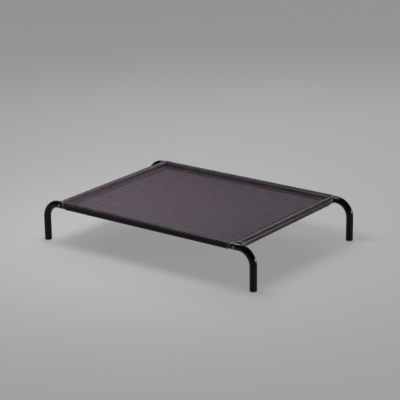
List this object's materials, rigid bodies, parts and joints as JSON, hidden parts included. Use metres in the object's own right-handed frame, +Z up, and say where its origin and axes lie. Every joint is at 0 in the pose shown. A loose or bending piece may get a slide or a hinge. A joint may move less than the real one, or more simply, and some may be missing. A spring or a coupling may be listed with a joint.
{
  "type": "raised pet bed",
  "caption": "Raised pet bed: a bolted bent-tube steel frame on short legs that stretches a taut charcoal mesh sling clear of the floor.",
  "frame": {"origin": "on the floor under the middle of the bed", "axes": "+X along the long rails, towards the right end; +Y across the bed, from the front rail to the rear rail; +Z up"},
  "size_m": [0.9, 0.6238, 0.1524],
  "materials": {
    "powder_coat": "gloss black powder coat on steel tube",
    "foot_plastic": "satin black moulded plastic",
    "zinc": "bright zinc plate",
    "insert_plastic": "moulded dark grey plastic",
    "coated_mesh": "woven coated yarn with a satin sheen, charcoal with a purple tint"
  },
  "bodies": {
    "root": {"front_rail": "powder_coat", "rear_rail": "powder_coat", "left_crossbar": "powder_coat", "right_crossbar": "powder_coat", "foot_cap_front_left": "foot_plastic", "foot_cap_front_right": "foot_plastic", "foot_cap_rear_left": "foot_plastic", "foot_cap_rear_right": "foot_plastic", "corner_bolt_front_left": "zinc", "corner_bolt_front_right": "zinc", "corner_bolt_rear_left": "zinc", "corner_bolt_rear_right": "zinc", "saddle_washer_front_left": "zinc", "saddle_washer_front_right": "zinc", "saddle_washer_rear_left": "zinc", "saddle_washer_rear_right": "zinc", "threaded_plug_front_left": "insert_plastic", "threaded_plug_front_right": "insert_plastic", "threaded_plug_rear_left": "insert_plastic", "threaded_plug_rear_right": "insert_plastic", "mesh_panel": "coated_mesh", "front_sleeve": "coated_mesh", "rear_sleeve": "coated_mesh", "left_sleeve": "coated_mesh", "right_sleeve": "coated_mesh"}
  },
  "joints": []
}
